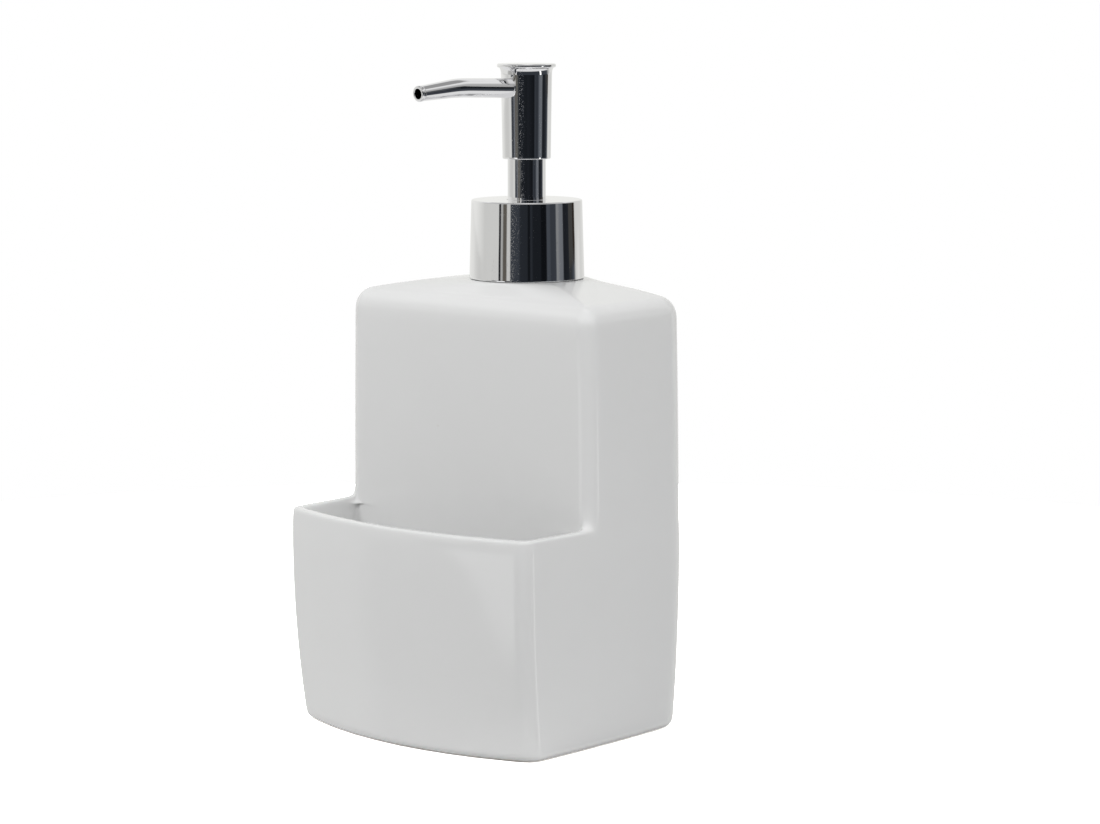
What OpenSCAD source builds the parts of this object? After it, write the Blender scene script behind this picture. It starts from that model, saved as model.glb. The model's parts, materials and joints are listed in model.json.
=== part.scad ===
// Soap pump caddy: a glazed ceramic bottle with an open sponge well in front and a chromed lotion pump.
// +Z is up, the well faces -Y, and the origin is under the middle of the overall plan, on the surface.

/* [Ceramic body] */
// Width across the bowed sides
body_w = 97.2; // [94:0.2:100]
// Depth from the bow of the well to the bow of the back
body_d = 86; // [84:0.5:90]
// Height of the ground seat that the collar sits over
seat_z = 131; // [128:0.5:140]
// Height of the well's rim
rim_z = 64; // [60:0.5:68]
// Depth from the bow of the well to the face of the bottle
well_d = 34; // [32:0.5:36]
// Bow of the well's front wall at the rim
front_bow = 8.3; // [7:0.1:10]
// Bow of the back wall
back_bow = 7; // [5:0.1:9]
// Thickness of the well's wall
well_wall = 3.4; // [3:0.1:4]
// Thickness of the bottle's wall
bottle_wall = 4.2; // [3.6:0.1:5]
// Thickness of the floor, foot recess included
floor_t = 6; // [5:0.5:7]
// How far the front comes in at the foot
front_draft = 2.5; // [1:0.1:3]
// How far each side comes in at the foot
side_draft = 1.4; // [0.8:0.1:2]

/* [Pump] */
// Distance of the pump's axis behind the middle of the plan
pump_y = 18.2; // [17:0.1:18.5]
// Diameter of the collar at its foot
collar_d = 34; // [33:0.1:34.4]
// Height of the collar
collar_h = 22.9; // [22.5:0.1:23.5]
// Diameter of the stem sleeve
sleeve_d = 11.2; // [11:0.1:11.3]
// Bare height of the stem between collar and head
stem_h = 12; // [12:0.1:14]
// Height of the head from its lower edge to the top of its cap
head_h = 27.8; // [27:0.1:29]
// Diameter of the head at the top
head_d = 15; // [14.8:0.1:15.4]
// Diameter of the flared cap
cap_d = 17.3; // [17:0.1:18]
// Working stroke of the head
stroke = 10.5; // [8:0.5:10.5]

/* [Spout] */
// Reach from the pump's axis to the mouth
spout_reach = 42.4; // [38:0.2:45]
// Distance from the pump's axis to the bend
bend_reach = 27.5; // [24:0.5:30]
// Upward slope from the head to the bend, in degrees
spout_rise = 1.7; // [0:0.1:4]
// Downward slope from the bend to the mouth, in degrees
spout_fall = 5.3; // [3:0.1:10]
// Turn of the spout away from straight ahead, in degrees
spout_turn = 5; // [0:1:10]

/* [Hidden] */
$fn = 72;

// Colours
glaze = [0.90, 0.90, 0.89];
chrome = [0.78, 0.79, 0.80];
white_plastic = [0.93, 0.93, 0.91];
clear_plastic = [0.86, 0.89, 0.90];
rubber = [0.25, 0.25, 0.26];
steel = [0.62, 0.63, 0.65];

// Plan of the body: sides, front and back are arcs, joined by rounded upright edges
front_y = -body_d / 2;
back_y = body_d / 2;
bottle_y = front_y + well_d;
side_r = 600;
flat_r = 20000;
well_corner = 5.4;
bottle_corner = 5;
back_corner = 11;
least_corner = 1.2;
bulge_z = 54;
rim_lean = 0.4;
base_bow = front_bow + 1.7;
base_corner = well_corner + 1;
back_draft = 1.5;
bottle_draft = 0.75;

// Heights of the body
foot_round = 2.2;
recess_h = 1.5;
foot_w = 6.5;
shoulder_r = 6.3;
shoulder_z = seat_z - 9.8;
shoulder_turn = 76;
crown_power = 1.5;
lip_drop = 1.7;
lip_flat = 0.2;
neck_r = 11.2;
seat_r = 17.8;

// Stack on the neck, from the seat upward
seal_t = 0.8;
adapter_z = seat_z + seal_t;
adapter_top = seat_z + 15;
adapter_flange_r = 14.6;
adapter_flange_t = 1.5;
adapter_r = 13.2;
adapter_bore_r = 8.9;
spigot_r = 10.9;
spigot_h = 7;
gasket_t = 0.9;
flange_z = adapter_top + gasket_t;
flange_r = 12.25;
flange_t = 1.6;
nut_z = flange_z + flange_t;
nut_flange_t = 1.2;
nut_top = seat_z + 21.6;
collar_z = seat_z + 0.3;
collar_top = collar_z + collar_h;
collar_taper = 0.65;
collar_wall = 0.8;
collar_round = 0.45;
collar_hole_r = sleeve_d / 2 + 0.4;
cap_z = adapter_z + adapter_flange_t + 0.6;
cap_bore_r = 13.7;
cap_hole_r = 7.5;

// Chamber, from the dip tube's socket upward
chamber_r = 6.7;
bore_r = 5.3;
cup_r = 8.5;
cup_bore_r = 7.5;
cup_z = seat_z + 2;
socket_z = seat_z - 43;
socket_top = socket_z + 7.8;
tube_r = 3;
tube_bore_r = 2.1;
tube_z = 9.5;
port_r = 1.6;
seat_cone_z = socket_top + 1.2;
seat_cone_h = 3;
ball_r = 2.38;
ball_z = seat_cone_z - port_r + ball_r * sqrt(2) + 0.06;
cage_z = seat_cone_z + 5.9;
cage_t = 1.5;
vent_r = 0.6;

// Piston and rod
spring_z = cage_z + cage_t;
cup_plate_z = spring_z + 18;
cup_plate_t = 1.2;
piston_z = cup_plate_z + cup_plate_t;
piston_h = 6.4;
rod_r = 3.1;
rod_bore_r = 1.8;
rod_z = piston_z + 0.1;
rod_collar_r = 4.5;
run_gap = 0.05;

// Spring
wire_r = 0.4;
coil_r = 4.2;
curls = 7;
curl_rings = 8;
wire_sides = 6;
end_pitch = 1.3;
end_curls = 1;

// Head
sleeve_wall = 0.9;
sleeve_z = nut_z - 0.1;
sleeve_lip_r = 6;
sleeve_top = collar_top + stem_h + 9.5;
guide_z = nut_z + 1;
head_z = collar_top + stem_h;
head_top = head_z + head_h;
head_taper = 0.4;
head_wall = 0.8;
cap_t = 1.1;
flare_h = 2;
shell_top = head_top - cap_t - flare_h;
core_z = head_z + 0.8;
core_top = shell_top - 1.6;
plug_z = shell_top - 0.5;
rod_top = core_z + 13.7;
spout_z = head_top - 7.4;
channel_r = 1.7;
root_reach = 3.2;
root_r = 2.9;
bend_r = 2.75;
mouth_r = 2.15;
spout_bore_r = 1.5;
tip_l = 1.4;
tip_r = 2.32;
far = 60;

// Outline helpers. A plan is [half width, front y, front radius, back y, back radius, front corner,
// back corner, side radius]; moving it in by d keeps every arc concentric.
function inset(p, d) = [p[0] - d, p[1] + d, p[2] - d, p[3] - d, p[4] - d,
  max(p[5] - d, least_corner), max(p[6] - d, least_corner), p[7] - d];
function arc_r(half, bow) = (half * half + bow * bow) / (2 * bow);
function meet(c1, r1, c2, r2, side) = let (d = norm(c2 - c1), e = (c2 - c1) / d,
  k = (r1 * r1 - r2 * r2 + d * d) / (2 * d)) c1 + k * e + side * sqrt(r1 * r1 - k * k) * [-e[1], e[0]];
function aim(v) = atan2(v[1], v[0]);
function arc(c, r, from, to, n) = [for (i = [0:n - 1])
  let (a = from + (to - from) * i / n) c + r * [cos(a), sin(a)]];

// Right half of a plan's outline, from the middle of the front to the middle of the back
function half_outline(p) = let (
  front = [0, p[1] + p[2]], back = [0, p[3] - p[4]], side = [p[0] - p[7], 0],
  c1 = meet(front, p[2] - p[5], side, p[7] - p[5], 1),
  c2 = meet(back, p[4] - p[6], side, p[7] - p[6], -1),
  a1 = aim(c1 - front), a2 = aim(c1 - side), a3 = aim(c2 - side), a4 = aim(c2 - back))
  concat(arc(front, p[2], -90, a1, 7), arc(c1, p[5], a1, a2, 5), arc(side, p[7], a2, a3, 5),
    arc(c2, p[6], a3, a4, 6), arc(back, p[4], a4, 90, 7), [[0, p[3]]]);
function outline(p) = let (h = half_outline(p), n = len(h))
  concat(h, [for (i = [n - 2:-1:1]) [-h[i][0], h[i][1]]]);
function level(points, z) = [for (q = points) [q[0], q[1], z]];

// Plans of the body at a height: the walls come in toward the foot and lean in a little at the rim
function foot_share(z) = z < bulge_z ? pow((bulge_z - z) / bulge_z, 2) : 0;
function lean(z) = z < bulge_z ? 0 : rim_lean * pow(min(1, (z - bulge_z) / (rim_z - bulge_z)), 2);
function caddy_plan(z) = let (t = foot_share(z), half = body_w / 2 - side_draft * t)
  inset([half, front_y + front_draft * t, arc_r(half - 1, front_bow + (base_bow - front_bow) * t),
    back_y - back_draft * t, arc_r(half - 1, back_bow),
    well_corner + (base_corner - well_corner) * t, back_corner, side_r], lean(z));
function narrowing(z) = bottle_draft * pow(max(0, z - rim_z) / (shoulder_z - rim_z), 1.6);
function bottle_plan(z) = let (p = caddy_plan(z), d = narrowing(z))
  [p[0] - d, bottle_y, flat_r, p[3] - d, p[4] - d, bottle_corner, p[6], p[7] - d];
function bottle_ring(z, d) = level(outline(inset(bottle_plan(z), d)), z);

// Shoulder: the upright walls turn in, then the crown rises to the round seat
function shoulder_in(a) = shoulder_r * (1 - cos(a));
function shoulder_up(a) = shoulder_r * sin(a);
function toward_seat(points, r, s) = [for (q = points)
  let (v = q - [0, pump_y]) (1 - s) * q + s * ([0, pump_y] + r * v / norm(v))];
function crown_rings(d, low, high, r, n) = let (p = outline(inset(bottle_plan(shoulder_z), d)))
  [for (i = [1:n]) let (s = i / n)
    level(toward_seat(p, r, s), low + (high - low) * (1 - pow(1 - s, crown_power)))];

// Solid through a stack of rings that have the same number of points
module loft(rings) {
  n = len(rings[0]);
  m = len(rings);
  polyhedron(
    points = [for (r = rings) each r],
    faces = concat(
      [[for (i = [0:n - 1]) i]],
      [for (j = [0:m - 2], i = [0:n - 1]) [j * n + i, (j + 1) * n + i, (j + 1) * n + (i + 1) % n]],
      [for (j = [0:m - 2], i = [0:n - 1]) [j * n + i, (j + 1) * n + (i + 1) % n, j * n + (i + 1) % n]],
      [[for (i = [n - 1:-1:0]) (m - 1) * n + i]]));
}

// Outer form of the well and the lower bottle
module caddy_form() {
  loft(concat(
    [for (a = [0, 30, 60]) let (z = foot_round * (1 - cos(a)))
      level(outline(inset(caddy_plan(z), foot_round * (1 - sin(a)))), z)],
    [for (z = [foot_round, 9, 18, 28, 40, bulge_z, rim_z - lip_drop]) level(outline(caddy_plan(z)), z)],
    [for (a = [30, 60, 90]) let (z = rim_z - lip_drop * (1 - sin(a)))
      level(outline(inset(caddy_plan(z), (lip_drop - lip_flat) * (1 - cos(a)))), z)]));
}

// Upright bottle. Below the rim its sides and back stay just inside the lower form.
module bottle_form() {
  sunk = 0.8;
  top = shoulder_z + shoulder_up(shoulder_turn);
  function sunk_ring(z) = let (p = inset(bottle_plan(z), sunk))
    level(outline([p[0], bottle_y, p[2], p[3], p[4], p[5], p[6], p[7]]), z);
  loft(concat(
    [sunk_ring(3), sunk_ring(rim_z - 4)],
    [for (z = [rim_z - lip_drop, 80, 96, 110, shoulder_z]) bottle_ring(z, 0)],
    [for (i = [1:6]) let (a = shoulder_turn * i / 6)
      level(outline(inset(bottle_plan(shoulder_z), shoulder_in(a))), shoulder_z + shoulder_up(a))],
    crown_rings(shoulder_in(shoulder_turn), top, seat_z, seat_r, 6)));
}

// Hollow of the well, with a rounded floor edge and the inner half of the lip
module well_hollow() {
  behind = 4;
  floor_round = 4;
  function hollow_ring(z, d) = let (p = inset(caddy_plan(z), d))
    level(outline([p[0], p[1], p[2], bottle_y + behind, flat_r, p[5], least_corner, p[7]]), z);
  loft(concat(
    [for (a = [0, 30, 60, 90])
      hollow_ring(floor_t + floor_round * (1 - cos(a)), well_wall + floor_round * (1 - sin(a)))],
    [for (z = [18, 28, 40, bulge_z, rim_z - lip_drop]) hollow_ring(z, well_wall)],
    [for (a = [30, 60, 90]) hollow_ring(rim_z - lip_drop * (1 - sin(a)),
      well_wall - (lip_drop - lip_flat) * (1 - cos(a)))],
    [hollow_ring(rim_z + 5, well_wall - lip_drop + lip_flat)]));
}

// Soap reservoir in the bottle, up to the underside of the neck
module reservoir() {
  round_r = 3;
  top = shoulder_z + shoulder_up(shoulder_turn) - bottle_wall;
  loft(concat(
    [for (a = [0, 30, 60, 90])
      bottle_ring(floor_t + round_r * (1 - cos(a)), bottle_wall + round_r * (1 - sin(a)))],
    [for (z = [28, bulge_z, 96, shoulder_z - 4]) bottle_ring(z, bottle_wall)],
    [for (i = [1:3]) let (a = shoulder_turn * i / 3)
      level(outline(inset(bottle_plan(shoulder_z), bottle_wall + shoulder_in(a))),
        shoulder_z - 4 + (top - shoulder_z + 4) * sin(a) / sin(shoulder_turn))],
    crown_rings(bottle_wall + shoulder_in(shoulder_turn), top, seat_z - bottle_wall - 0.8, neck_r + 1, 4)));
}

// Slip-cast and glazed body, brought to its exact overall width and depth
module ceramic_body() {
  color(glaze)
    resize([body_w, body_d, 0])
      difference() {
        union() {
          difference() {
            caddy_form();
            well_hollow();
          }
          bottle_form();
        }
        reservoir();
        translate([0, pump_y, seat_z - 12]) cylinder(r = neck_r, h = 13, $fn = 48);
        loft([for (z = [-1, recess_h]) level(outline(inset(caddy_plan(0), foot_round + foot_w)), z)]);
      }
}

// Puts what is drawn on the pump's axis
module on_axis() {
  translate([0, pump_y, 0]) children();
}

// Flat ring from z up
module ring(outer, inner, z, h) {
  translate([0, 0, z]) difference() {
    cylinder(r = outer, h = h);
    translate([0, 0, -1]) cylinder(r = inner, h = h + 2);
  }
}

// Soft ring between the ceramic seat and the adapter's flange
module neck_seal() {
  color(rubber) on_axis() ring(adapter_flange_r, neck_r + 0.2, seat_z, seal_t);
}

// Neck that the closure screws on, bedded into the ceramic
module neck_adapter() {
  color(white_plastic) on_axis() difference() {
    union() {
      translate([0, 0, adapter_z - spigot_h]) cylinder(r = spigot_r, h = spigot_h + 1);
      translate([0, 0, adapter_z]) cylinder(r = adapter_flange_r, h = adapter_flange_t);
      translate([0, 0, adapter_z]) cylinder(r = adapter_r, h = adapter_top - adapter_z);
    }
    translate([0, 0, adapter_z - far / 2]) cylinder(r = adapter_bore_r, h = far);
  }
}

// Gasket under the pump's flange
module flange_gasket() {
  color(rubber) on_axis() ring(flange_r, adapter_bore_r, adapter_top, gasket_t);
}

// Cylinder of the pump: flange, cup for the nut, piston bore, ball seat and dip tube socket
module pump_chamber() {
  throat = 4.6;
  spigot = 4.2;
  color(clear_plastic) on_axis() difference() {
    rotate_extrude() polygon([
      [tube_r, socket_z], [spigot, socket_z], [spigot, seat_cone_z - 0.5], [chamber_r, seat_cone_z + 3],
      [chamber_r, cup_z - 1], [cup_r, cup_z + 1], [cup_r, flange_z], [flange_r, flange_z],
      [flange_r, nut_z], [cup_bore_r, nut_z], [cup_bore_r, cup_z + 2.2], [bore_r, cup_z],
      [bore_r, cage_z], [throat, cage_z], [throat, seat_cone_z + seat_cone_h], [port_r, seat_cone_z],
      [port_r, socket_top], [tube_r, socket_top]]);
    translate([0, 0, cup_z + 4]) rotate([90, 0, 0]) cylinder(r = vent_r, h = cup_r + 2);
  }
}

// Nut in the chamber's mouth: flange, skirt and the bore that guides the sleeve
module guide_nut() {
  skirt_bore = 6.4;
  boss_r = 7.1;
  color(white_plastic) on_axis() rotate_extrude() polygon([
    [skirt_bore, seat_z + 9], [cup_bore_r, seat_z + 9], [cup_bore_r, nut_z], [10.5, nut_z],
    [10.5, nut_z + nut_flange_t], [boss_r, nut_z + nut_flange_t], [boss_r, nut_top],
    [sleeve_d / 2 + run_gap, nut_top], [sleeve_d / 2 + run_gap, guide_z], [skirt_bore, guide_z]]);
}

// Ring and bar that keep the ball down and carry the spring
module ball_cage() {
  bar_w = 1.6;
  color(white_plastic) on_axis() union() {
    ring(bore_r, 3.6, cage_z, cage_t);
    translate([-4.4, -bar_w / 2, cage_z]) cube([8.8, bar_w, cage_t]);
  }
}

// Suction tube, cut at a slant so that it can't seal itself on the floor
module dip_tube() {
  slant = 30;
  color(clear_plastic) on_axis() difference() {
    ring(tube_r, tube_bore_r, tube_z, socket_top - tube_z);
    translate([tube_r, 0, tube_z]) rotate([0, slant, 0]) translate([-far, -far / 2, -far])
      cube([2 * far, far, far]);
  }
}

// Height along the spring after t curls: close at both ends and open between them
open_pitch = (cup_plate_z - spring_z - 2 * wire_r - 2 * end_curls * end_pitch) / (curls - 2 * end_curls);
function spring_rise(t) = t < end_curls ? t * end_pitch
  : t < curls - end_curls ? end_curls * end_pitch + (t - end_curls) * open_pitch
  : end_curls * end_pitch + (curls - 2 * end_curls) * open_pitch + (t - curls + end_curls) * end_pitch;
function spring_centre(t) = [coil_r * cos(360 * t), coil_r * sin(360 * t), spring_z + wire_r + spring_rise(t)];
function spring_ring(t) = let (c = spring_centre(t), out = [cos(360 * t), sin(360 * t), 0])
  [for (k = [0:wire_sides - 1]) let (a = 360 * k / wire_sides)
    c + wire_r * (cos(a) * out + [0, 0, sin(a)])];
spring_steps = curls * curl_rings;
spring_gap = min([for (i = [0:spring_steps - curl_rings])
  norm(spring_centre((i + curl_rings) / curl_rings) - spring_centre(i / curl_rings)) - 2 * wire_r]);

// Wound wire spring as one unbroken tube
module return_spring() {
  echo(least_gap_between_curls = spring_gap);
  n = wire_sides;
  m = spring_steps + 1;
  color(steel) on_axis() polyhedron(
    points = [for (i = [0:m - 1]) each spring_ring(i / curl_rings)],
    faces = concat(
      [[for (i = [n - 1:-1:0]) i]],
      [for (j = [0:m - 2], i = [0:n - 1]) [j * n + i, (j + 1) * n + (i + 1) % n, (j + 1) * n + i]],
      [for (j = [0:m - 2], i = [0:n - 1]) [j * n + i, j * n + (i + 1) % n, (j + 1) * n + (i + 1) % n]],
      [[for (i = [0:n - 1]) (m - 1) * n + i]]));
}

// Plastic closure inside the collar; its top plate holds the pump's flange down
module screw_cap() {
  top = collar_top - collar_wall;
  plate_z = nut_z + nut_flange_t + 0.1;
  slope = collar_taper / collar_h;
  inner_r = collar_d / 2 - collar_wall - 0.05;
  color(white_plastic) on_axis() difference() {
    translate([0, 0, cap_z]) cylinder(r1 = inner_r - slope * (cap_z - collar_z),
      r2 = inner_r - slope * (top - collar_z), h = top - cap_z);
    translate([0, 0, cap_z - 1]) cylinder(r = cap_bore_r, h = plate_z - cap_z + 1);
    translate([0, 0, plate_z - 1]) cylinder(r = cap_hole_r, h = far);
  }
}

// Chromed collar: a slightly tapered cup with a rounded top edge and the sleeve's hole
module collar_shell() {
  foot_r = collar_d / 2;
  top_r = foot_r - collar_taper;
  inner_top = collar_top - collar_wall;
  color(chrome) on_axis() difference() {
    rotate_extrude() union() {
      polygon([[0, collar_z], [foot_r, collar_z], [top_r, collar_top - collar_round],
        [top_r - collar_round, collar_top], [0, collar_top]]);
      translate([top_r - collar_round, collar_top - collar_round]) circle(r = collar_round);
    }
    translate([0, 0, collar_z - 0.01]) cylinder(r1 = foot_r - collar_wall,
      r2 = top_r - collar_wall, h = inner_top - collar_z + 0.01);
    translate([0, 0, collar_z]) cylinder(r = collar_hole_r, h = far);
  }
}

// Check valve ball on the cone of the chamber
module inlet_ball() {
  color(steel) on_axis() translate([0, 0, ball_z]) sphere(r = ball_r);
}

// Piston with two sealing lips and a relief around the rod's port
module piston_seal() {
  lip_r = bore_r - run_gap;
  waist_r = lip_r - 0.6;
  hole_r = rod_r + run_gap;
  relief_r = 4;
  top = piston_z + piston_h;
  color(white_plastic) on_axis() rotate_extrude() polygon([
    [hole_r, piston_z], [lip_r - 0.3, piston_z], [lip_r, piston_z + 0.3], [lip_r, piston_z + 1.3],
    [waist_r, piston_z + 1.9], [waist_r, top - 1.9], [lip_r, top - 1.3], [lip_r, top - 0.3],
    [lip_r - 0.3, top], [hole_r, top], [hole_r, top - 2.4], [relief_r, top - 2.7],
    [relief_r, piston_z + 1.6], [hole_r, piston_z + 1.2]]);
}

// Washer under the piston: the spring pushes on it
module spring_cup() {
  color(white_plastic) on_axis() ring(4.9, 2, cup_plate_z, cup_plate_t);
}

// Hollow rod from the piston to the head, closed below and open through a side port
module piston_rod() {
  port_z = rod_z + 2.5;
  color(white_plastic) on_axis() difference() {
    union() {
      translate([0, 0, rod_z]) cylinder(r = rod_r, h = rod_top - rod_z);
      translate([0, 0, piston_z + piston_h + 0.1]) cylinder(r = rod_collar_r, h = 1.2);
    }
    translate([0, 0, rod_z + 1.2]) cylinder(r = rod_bore_r, h = far + 20);
    translate([-far / 2, 0, port_z]) rotate([0, 90, 0]) cylinder(r = 0.9, h = far);
  }
}

// Chromed sleeve around the rod, with the lip that the guide nut retains
module stem_sleeve() {
  outer = sleeve_d / 2;
  inner = outer - sleeve_wall;
  lip_h = 1;
  color(chrome) on_axis() union() {
    ring(outer, inner, sleeve_z, sleeve_top - sleeve_z);
    ring(sleeve_lip_r, inner, sleeve_z, lip_h);
  }
}

// Radius of the head's outside at a height
function head_r(z) = head_d / 2 - head_taper * (shell_top - z) / (shell_top - head_z);

// Plastic core of the head: holds rod, sleeve and spout, and has the channel between them
module head_core() {
  outer = sleeve_d / 2;
  color(white_plastic) on_axis() difference() {
    translate([0, 0, core_z]) cylinder(r1 = head_r(core_z) - head_wall,
      r2 = head_r(core_top) - head_wall, h = core_top - core_z);
    translate([0, 0, core_z - 1]) cylinder(r = rod_r, h = rod_top - core_z + 1);
    translate([0, 0, core_z - 1]) difference() {
      cylinder(r = outer, h = sleeve_top - core_z + 1);
      cylinder(r = outer - sleeve_wall, h = sleeve_top - core_z + 2);
    }
    translate([0, 0, rod_top - 1]) cylinder(r = channel_r, h = spout_z - rod_top + 2.6);
    rising_bar(root_r, bend_r, root_reach);
  }
}

// Chromed barrel of the head, with the hole for the spout
module head_shell() {
  color(chrome) on_axis() difference() {
    translate([0, 0, head_z]) cylinder(r1 = head_r(head_z), r2 = head_r(shell_top), h = shell_top - head_z);
    translate([0, 0, head_z - 0.01]) cylinder(r1 = head_r(head_z) - head_wall,
      r2 = head_r(shell_top) - head_wall, h = shell_top - head_z + 0.02);
    rising_bar(root_r, bend_r, root_reach);
  }
}

// Flared disc on the head: thin plate with a rounded edge, flare and a plug into the barrel
module head_cap() {
  edge_r = 0.5;
  steps = 6;
  flare_z = head_top - cap_t;
  plate_r = cap_d / 2;
  top_r = head_r(shell_top);
  color(chrome) on_axis() rotate_extrude() polygon(concat(
    [[0, head_top]],
    [for (i = [0:2 * steps]) let (a = 90 - 90 * i / steps)
      [plate_r - edge_r + edge_r * cos(a), head_top - edge_r + edge_r * sin(a)]],
    [for (i = [0:steps]) let (a = 90 * i / steps)
      [plate_r - edge_r - (plate_r - edge_r - top_r) * sin(a), flare_z - flare_h * (1 - cos(a))]],
    [[top_r - head_wall, shell_top], [top_r - head_wall, plug_z], [0, plug_z]]));
}

// Height of the bend, on the spout's centre line
bend_z = spout_z + 0.2 + bend_reach * tan(spout_rise);

// Tapered round bar from the head up to the bend
module rising_bar(r1, r2, start) {
  rotate([0, 0, -spout_turn])
    translate([0, -start, spout_z + 0.2 + start * tan(spout_rise)]) rotate([90 - spout_rise, 0, 0])
      cylinder(r1 = r1, r2 = r2, h = (bend_reach - start) / cos(spout_rise));
}

// The whole spout's line: rising bar, round joint, and the falling bar to within cut of the mouth
module spout_form(r1, r2, r3, start, cut) {
  rising_bar(r1, r2, start);
  rotate([0, 0, -spout_turn]) translate([0, -bend_reach, bend_z]) {
    sphere(r = r2 + 0.03);
    rotate([90 + spout_fall, 0, 0])
      cylinder(r1 = r2, r2 = r3, h = (spout_reach - bend_reach) / cos(spout_fall) - cut);
  }
}

// Chromed spout with its bore
module nozzle_tube() {
  color(chrome) on_axis() difference() {
    spout_form(root_r, bend_r, mouth_r, root_reach, tip_l);
    spout_form(spout_bore_r, spout_bore_r, spout_bore_r, root_reach - 1, -1);
  }
}

// Puts what is drawn upward at the spout's mouth, facing out of it
module at_mouth() {
  rotate([0, 0, -spout_turn])
    translate([0, -spout_reach, bend_z - (spout_reach - bend_reach) * tan(spout_fall)])
      rotate([90 + spout_fall, 0, 0]) children();
}

// Ring on the mouth
module nozzle_tip() {
  color(chrome) on_axis() at_mouth() rotate_extrude() union() {
    polygon([[spout_bore_r, -tip_l], [tip_r - 0.2, -tip_l], [tip_r, -tip_l + 0.3], [tip_r, -0.35],
      [tip_r - 0.35, 0], [spout_bore_r + 0.2, 0], [spout_bore_r, -0.2]]);
    translate([tip_r - 0.35, -0.35]) circle(r = 0.35);
  }
}

ceramic_body();
neck_seal();
neck_adapter();
flange_gasket();
pump_chamber();
guide_nut();
ball_cage();
dip_tube();
return_spring();
screw_cap();
collar_shell();
inlet_ball();
piston_seal();
spring_cup();
piston_rod();
stem_sleeve();
head_core();
head_shell();
head_cap();
nozzle_tube();
nozzle_tip();
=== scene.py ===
import json
import math

import bmesh
import bpy
from mathutils import Matrix, Vector


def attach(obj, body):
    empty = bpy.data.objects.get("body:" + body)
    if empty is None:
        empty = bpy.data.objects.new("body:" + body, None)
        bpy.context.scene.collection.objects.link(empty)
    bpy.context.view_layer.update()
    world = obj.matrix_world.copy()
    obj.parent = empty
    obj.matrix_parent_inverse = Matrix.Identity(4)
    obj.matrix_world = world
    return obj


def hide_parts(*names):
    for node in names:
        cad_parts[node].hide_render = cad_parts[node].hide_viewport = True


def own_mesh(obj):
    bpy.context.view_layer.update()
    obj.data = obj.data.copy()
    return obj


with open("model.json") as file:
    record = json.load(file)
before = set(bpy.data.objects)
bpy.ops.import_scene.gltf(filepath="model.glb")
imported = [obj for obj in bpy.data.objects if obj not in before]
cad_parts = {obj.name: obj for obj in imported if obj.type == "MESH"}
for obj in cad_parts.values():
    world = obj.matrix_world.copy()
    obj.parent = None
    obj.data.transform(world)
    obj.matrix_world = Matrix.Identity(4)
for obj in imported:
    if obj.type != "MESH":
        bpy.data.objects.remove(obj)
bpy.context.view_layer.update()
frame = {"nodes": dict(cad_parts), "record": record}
print("frame loaded:", len(frame["nodes"]), "nodes")

deg = math.radians
mm = 0.001
pumpAxis = (0, 18.2)  # x and y of the pump, in mm


# the camera stands where the photograph was taken from
camera = {"place": (0.6498, -0.7054, 0.2221), "ahead": (-0.656998, 0.741941, -0.133703),
          "up": (-0.087621, 0.100999, 0.991021), "lens": 108, "film": 36, "near": 0.05, "far": 50}


def makeCamera(spec):
    ahead, up = Vector(spec["ahead"]).normalized(), Vector(spec["up"])
    right = ahead.cross(up).normalized()
    up = right.cross(ahead)
    data = bpy.data.cameras.new("photoCamera")
    data.lens, data.sensor_width, data.sensor_fit = spec["lens"], spec["film"], "HORIZONTAL"
    data.clip_start, data.clip_end = spec["near"], spec["far"]
    cam = bpy.data.objects.new("photoCamera", data)
    turn = Matrix((right, up, -ahead)).transposed().to_4x4()
    cam.matrix_world = Matrix.Translation(spec["place"]) @ turn
    bpy.context.scene.collection.objects.link(cam)
    bpy.context.scene.camera = cam


makeCamera(camera)
print("camera placed")


class Value:
    # wraps a socket, so that shader maths reads as plain sums
    def __init__(self, tree, socket):
        self.tree, self.socket = tree, socket

    def math(self, operation, other=0.0, swapped=False):
        node = self.tree.nodes.new("ShaderNodeMath")
        node.operation = operation
        for slot, value in zip(node.inputs, (other, self) if swapped else (self, other)):
            plug(self.tree, slot, value)
        return Value(self.tree, node.outputs[0])

    def __add__(self, other): return self.math("ADD", other)
    def __radd__(self, other): return self.math("ADD", other, True)
    def __sub__(self, other): return self.math("SUBTRACT", other)
    def __rsub__(self, other): return self.math("SUBTRACT", other, True)
    def __mul__(self, other): return self.math("MULTIPLY", other)
    def __rmul__(self, other): return self.math("MULTIPLY", other, True)
    def __truediv__(self, other): return self.math("DIVIDE", other)
    def __lt__(self, other): return self.math("LESS_THAN", other)
    def __gt__(self, other): return self.math("GREATER_THAN", other)


def plug(tree, slot, value):
    if isinstance(value, Value):
        tree.links.new(value.socket, slot)
    elif hasattr(slot, "default_value"):
        slot.default_value = value


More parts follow.
